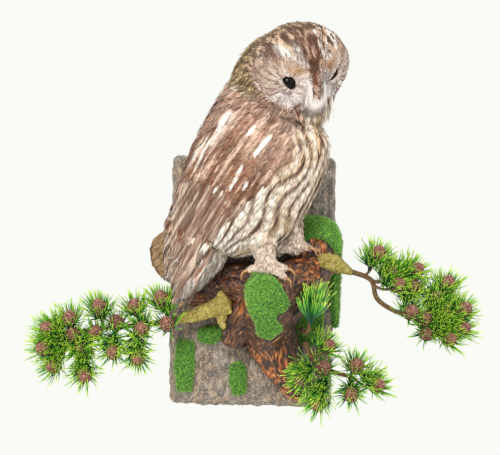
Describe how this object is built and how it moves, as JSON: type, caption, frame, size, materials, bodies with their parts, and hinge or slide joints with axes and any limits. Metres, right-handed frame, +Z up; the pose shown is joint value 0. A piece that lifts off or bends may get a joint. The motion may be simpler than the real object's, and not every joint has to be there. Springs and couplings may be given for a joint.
{
  "type": "taxidermy tawny owl on a wall plaque",
  "caption": "Mounted tawny owl perched on glossy driftwood, set with moss and artificial pine boughs on a bark-faced wall plaque.",
  "frame": {"origin": "middle of the plaque's flat back, which lies on the wall", "axes": "+Z up, +Y into the wall, -Y towards the viewer, +X to the viewer's right"},
  "size_m": [0.5624, 0.185, 0.4927],
  "materials": {
    "plumage": "soft matte feathers, brown with dark streaks, buff and white spots",
    "bill_horn": "lacquered dark brown horn",
    "claw_horn": "polished amber horn with darker points",
    "glass_eye": "black glass, high gloss",
    "bark": "rough grey-brown bark crust",
    "driftwood": "stained and lacquered root wood, red-brown with orange grain",
    "lichen": "granular olive-yellow lichen on a stub",
    "moss": "bright green flocked moss",
    "pine_needles": "moulded needles, dark green turning yellow-green at the tips",
    "pine_cones": "small dull red-brown cones",
    "pine_twig": "grey-brown twig"
  },
  "bodies": {
    "root": {"plaque": "bark", "root": "driftwood", "lichen_stub_left": "lichen", "lichen_stub_right": "lichen", "moss_perch": "moss", "moss_crest": "moss", "moss_hollow": "moss", "moss_flank": "moss", "moss_left": "moss", "moss_low": "moss", "moss_gap": "moss", "head": "plumage", "bill": "bill_horn", "eye_right": "glass_eye", "eye_left": "glass_eye", "neck": "plumage", "trunk": "plumage", "tail": "plumage", "wing_right_coverts": "plumage", "wing_right_flight": "plumage", "leg_right": "plumage", "foot_right": "plumage", "talon_right_1": "claw_horn", "talon_right_2": "claw_horn", "talon_right_3": "claw_horn", "talon_right_4": "claw_horn", "wing_left_coverts": "plumage", "wing_left_flight": "plumage", "leg_left": "plumage", "foot_left": "plumage", "talon_left_1": "claw_horn", "talon_left_2": "claw_horn", "talon_left_3": "claw_horn", "talon_left_4": "claw_horn", "pine_left_twig": "pine_twig", "pine_left_tufts": "pine_needles", "pine_right_twig": "pine_twig", "pine_right_tufts": "pine_needles", "pine_low_twig": "pine_twig", "pine_low_tufts": "pine_needles", "pine_tuft_twig": "pine_twig", "pine_tuft_needles": "pine_needles"}
  },
  "joints": []
}
